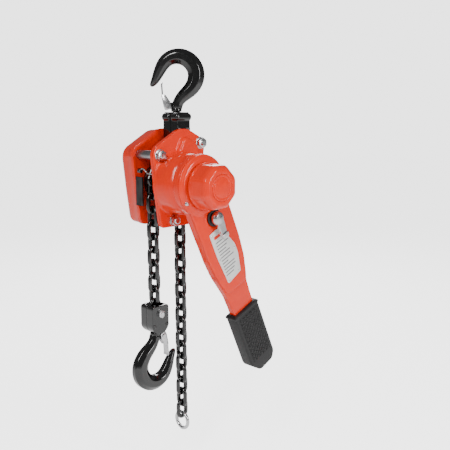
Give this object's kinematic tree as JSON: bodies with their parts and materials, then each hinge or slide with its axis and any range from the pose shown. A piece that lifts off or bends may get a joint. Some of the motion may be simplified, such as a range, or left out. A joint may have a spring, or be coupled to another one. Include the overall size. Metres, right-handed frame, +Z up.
{
  "type": "lever chain hoist",
  "caption": "Hand lever chain hoist with swivel top and bottom hooks, side plates, gear cover, load brake, lever with rubber grip, handwheel and link chain.",
  "frame": {"origin": "saddle of the top hook, where the hoist hangs", "axes": "+Z up, load shaft along Y with the handwheel towards -Y, lever leaning towards +X"},
  "size_m": [0.2019, 0.158, 0.5404],
  "materials": {
    "red_enamel": "glossy orange-red enamel",
    "black_enamel": "glossy black enamel",
    "zinc": "bright zinc plate",
    "steel": "zinc grey steel",
    "dark_steel": "oiled dark steel",
    "grip_rubber": "matt moulded rubber",
    "friction_lining": "brake lining",
    "label_white": null
  },
  "bodies": {
    "top_hook": {"top_hook": "black_enamel", "top_latch_pin": "steel"},
    "top_latch": {"top_latch": "zinc"},
    "yoke": {"top_yoke_front": "black_enamel", "top_yoke_rear": "black_enamel", "yoke_rivet_left": "dark_steel", "yoke_rivet_right": "dark_steel", "suspension_pin": "steel"},
    "frame": {"front_side_plate": "red_enamel", "rear_side_plate": "red_enamel", "sheave_bearing_front": "zinc", "sheave_bearing_rear": "zinc", "stay_stud_left": "zinc", "stay_stud_right": "zinc", "stay_stud_bottom": "zinc", "stay_nut_left": "zinc", "stay_nut_right": "zinc", "stay_nut_bottom": "zinc", "stay_spacer_left": "steel", "stay_spacer_right": "steel", "stay_spacer_bottom": "steel", "chain_guide_left": "dark_steel", "chain_guide_right": "dark_steel", "chain_stripper": "dark_steel", "brake_cover": "red_enamel", "gear_cover": "red_enamel", "chain_on_sheave": "black_enamel", "ratchet_disc": "steel"},
    "sheave": {"load_sheave": "dark_steel", "load_gear": "dark_steel"},
    "gear_upper": {"disc_gear_upper": "dark_steel"},
    "gear_lower": {"disc_gear_lower": "dark_steel"},
    "drive": {"drive_shaft": "steel", "brake_hub": "steel", "friction_disc_inner": "friction_lining", "friction_disc_outer": "friction_lining", "drive_gear": "dark_steel", "handwheel": "red_enamel", "handwheel_cap": "red_enamel"},
    "pawl_upper": {"brake_pawl_upper": "dark_steel"},
    "pawl_lower": {"brake_pawl_lower": "dark_steel"},
    "lever": {"lever_body": "red_enamel", "lever_cover": "red_enamel", "lever_grip": "grip_rubber", "rating_plate": "label_white"},
    "selector": {"selector_lever": "zinc", "change_pawl": "dark_steel"},
    "hook_fall": {"hook_chain": "black_enamel"},
    "hook_block": {"hook_block_front": "black_enamel", "hook_block_rear": "black_enamel", "load_pin": "zinc", "block_rivet_left": "dark_steel", "block_rivet_right": "dark_steel"},
    "bottom_hook": {"bottom_hook": "black_enamel", "bottom_latch_pin": "steel"},
    "bottom_latch": {"bottom_latch": "zinc"},
    "slack_upper": {"slack_chain_upper": "black_enamel"},
    "slack_lower": {"slack_chain_lower": "black_enamel", "chain_end_ring": "zinc"}
  },
  "joints": [
    {"name": "top_latch_hinge", "type": "hinge", "parent": "top_hook", "child": "top_latch", "pos_m": [-0.00813, 0.00813, -0.0562], "axis": [0.7071, 0.7071, 0], "range_deg": [0, 28], "stiffness_Nm_per_rad": 0.05},
    {"name": "top_swivel", "type": "hinge", "parent": "top_hook", "child": "yoke", "pos_m": [0, 0, -0.075], "axis": [0, 0, 1], "continuous": true},
    {"name": "suspension_hinge", "type": "hinge", "parent": "yoke", "child": "frame", "pos_m": [0, 0, -0.098], "axis": [0, 1, 0], "range_deg": [-25, 25]},
    {"name": "lever_turn", "type": "hinge", "parent": "frame", "child": "lever", "pos_m": [-0.02, -0.062, -0.156], "axis": [0, 1, 0], "continuous": true},
    {"name": "selector_turn", "type": "hinge", "parent": "lever", "child": "selector", "pos_m": [-0.00088, -0.07, -0.19894], "axis": [0, 1, 0], "range_deg": [-20, 20]},
    {"name": "pawl_upper_hinge", "type": "hinge", "parent": "frame", "child": "pawl_upper", "pos_m": [-0.00451, -0.036, -0.12686], "axis": [0, -1, 0], "range_deg": [0, 10], "stiffness_Nm_per_rad": 0.02},
    {"name": "pawl_lower_hinge", "type": "hinge", "parent": "frame", "child": "pawl_lower", "pos_m": [-0.03549, -0.036, -0.18514], "axis": [0, -1, 0], "range_deg": [0, 10], "stiffness_Nm_per_rad": 0.02},
    {"name": "hook_travel", "type": "slide", "parent": "frame", "child": "hook_fall", "axis": [0, 0, 1], "range_m": [0, 0.072], "deforming": ["hook_chain", "chain_on_sheave"]},
    {"name": "sheave_spin", "type": "hinge", "parent": "frame", "child": "sheave", "pos_m": [-0.02, 0, -0.156], "axis": [0, 1, 0], "range_deg": [-5, 185]},
    {"name": "gear_upper_spin", "type": "hinge", "parent": "frame", "child": "gear_upper", "pos_m": [-0.02, 0.03, -0.129], "axis": [0, 1, 0], "range_deg": [-370, 10]},
    {"name": "gear_lower_spin", "type": "hinge", "parent": "frame", "child": "gear_lower", "pos_m": [-0.02, 0.03, -0.183], "axis": [0, 1, 0], "range_deg": [-370, 10]},
    {"name": "drive_spin", "type": "hinge", "parent": "frame", "child": "drive", "pos_m": [-0.02, 0, -0.156], "axis": [0, 1, 0], "range_deg": [-10, 730]},
    {"name": "slack_travel", "type": "slide", "parent": "frame", "child": "slack_upper", "axis": [0, 0, 1], "range_m": [-0.073, 0.001], "deforming": ["slack_chain_upper"]},
    {"name": "slack_swing", "type": "hinge", "parent": "slack_upper", "child": "slack_lower", "pos_m": [0.00352, 0, -0.354], "axis": [0, 1, 0], "range_deg": [-15, 15], "deforming": ["slack_chain_lower"]},
    {"name": "block_swing", "type": "hinge", "parent": "hook_fall", "child": "hook_block", "pos_m": [-0.04352, 0, -0.3322], "axis": [0, 1, 0], "range_deg": [-6, 6]},
    {"name": "bottom_swivel", "type": "hinge", "parent": "hook_block", "child": "bottom_hook", "pos_m": [-0.04352, 0, -0.3602], "axis": [0, 0, 1], "continuous": true},
    {"name": "bottom_latch_hinge", "type": "hinge", "parent": "bottom_hook", "child": "bottom_latch", "pos_m": [-0.03202, 0, -0.3684], "axis": [0, 1, 0], "range_deg": [0, 28], "stiffness_Nm_per_rad": 0.05}
  ],
  "couplings": [
    {"joint": "sheave_spin", "follows": "hook_travel", "rad_per_m": 43.633},
    {"joint": "gear_upper_spin", "follows": "hook_travel", "rad_per_m": -87.266},
    {"joint": "gear_lower_spin", "follows": "hook_travel", "rad_per_m": -87.266},
    {"joint": "drive_spin", "follows": "hook_travel", "rad_per_m": 174.53},
    {"joint": "slack_travel", "follows": "hook_travel", "ratio": -1}
  ]
}
